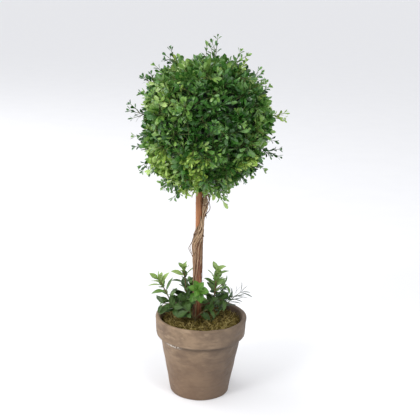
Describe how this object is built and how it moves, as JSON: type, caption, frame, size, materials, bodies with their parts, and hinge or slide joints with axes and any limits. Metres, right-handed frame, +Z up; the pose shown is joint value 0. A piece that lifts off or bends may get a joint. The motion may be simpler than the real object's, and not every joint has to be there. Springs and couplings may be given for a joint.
{
  "type": "potted artificial boxwood ball topiary",
  "caption": "Artificial boxwood standard: a clipped ball of leaves on a vine-wound stick, with sprigs and moss at its foot, standing in an aged clay pot.",
  "frame": {"origin": "middle of the pot's flat underside", "axes": "+Z up along the pot's axis; the front of the arrangement, where the bright sprig and the vine's crossing show, faces -Y"},
  "size_m": [0.2486, 0.2335, 0.5805],
  "materials": {
    "clay": "matte",
    "filling": "matte",
    "moss": "matte",
    "peeled_wood": "satin",
    "vine_bark": "matte",
    "box_leaf": "satin",
    "broad_leaf": "satin",
    "bright_leaf": "satin",
    "dark_leaf": "satin",
    "narrow_leaf": "satin"
  },
  "bodies": {
    "root": {"pot": "clay", "fill": "filling", "moss": "moss", "trunk": "peeled_wood", "vine_1": "vine_bark", "vine_2": "vine_bark", "vine_3": "vine_bark", "vine_4": "vine_bark", "vine_5": "vine_bark", "vine_6": "vine_bark", "crown": "box_leaf", "sprig_left": "broad_leaf", "sprig_mid_left": "broad_leaf", "sprig_front": "bright_leaf", "sprig_right": "broad_leaf", "sprig_small_right": "dark_leaf", "spray_narrow_right": "narrow_leaf", "sprig_back_left": "broad_leaf", "sprig_back_right": "broad_leaf"}
  },
  "joints": []
}
